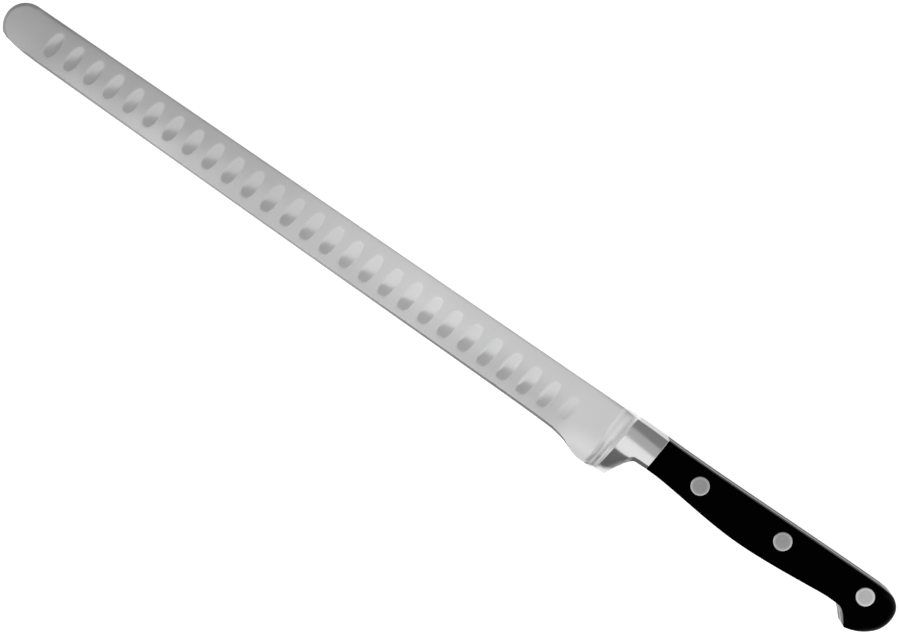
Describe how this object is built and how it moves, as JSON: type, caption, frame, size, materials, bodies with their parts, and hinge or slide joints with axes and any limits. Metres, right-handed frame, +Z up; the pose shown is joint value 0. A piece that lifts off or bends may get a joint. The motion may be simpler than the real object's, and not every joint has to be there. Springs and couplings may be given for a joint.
{
  "type": "salmon knife",
  "caption": "Long narrow round-nosed slicing knife with oval hollows along both blade sides, a forged bolster with finger guard, and a black riveted full-tang handle with a hooked butt.",
  "frame": {"origin": "middle of the bounding box, on the plane that the lower scale's side rests on", "axes": "the knife lies on its side: +X along the knife to the butt, +Y from the cutting edge to the spine, +Z up through the thickness"},
  "size_m": [0.4276, 0.0276, 0.014],
  "materials": {
    "blade_steel": "satin-ground stainless steel blade, polished bolster",
    "handle_black": "black moulded acetal with a soft polish",
    "rivet_steel": "finely turned stainless steel, ground flush"
  },
  "bodies": {
    "root": {"blade_bolster_tang": "blade_steel", "upper_scale": "handle_black", "lower_scale": "handle_black", "front_rivet_pin": "rivet_steel", "front_rivet_tube": "rivet_steel", "middle_rivet_pin": "rivet_steel", "middle_rivet_tube": "rivet_steel", "rear_rivet_pin": "rivet_steel", "rear_rivet_tube": "rivet_steel"}
  },
  "joints": []
}
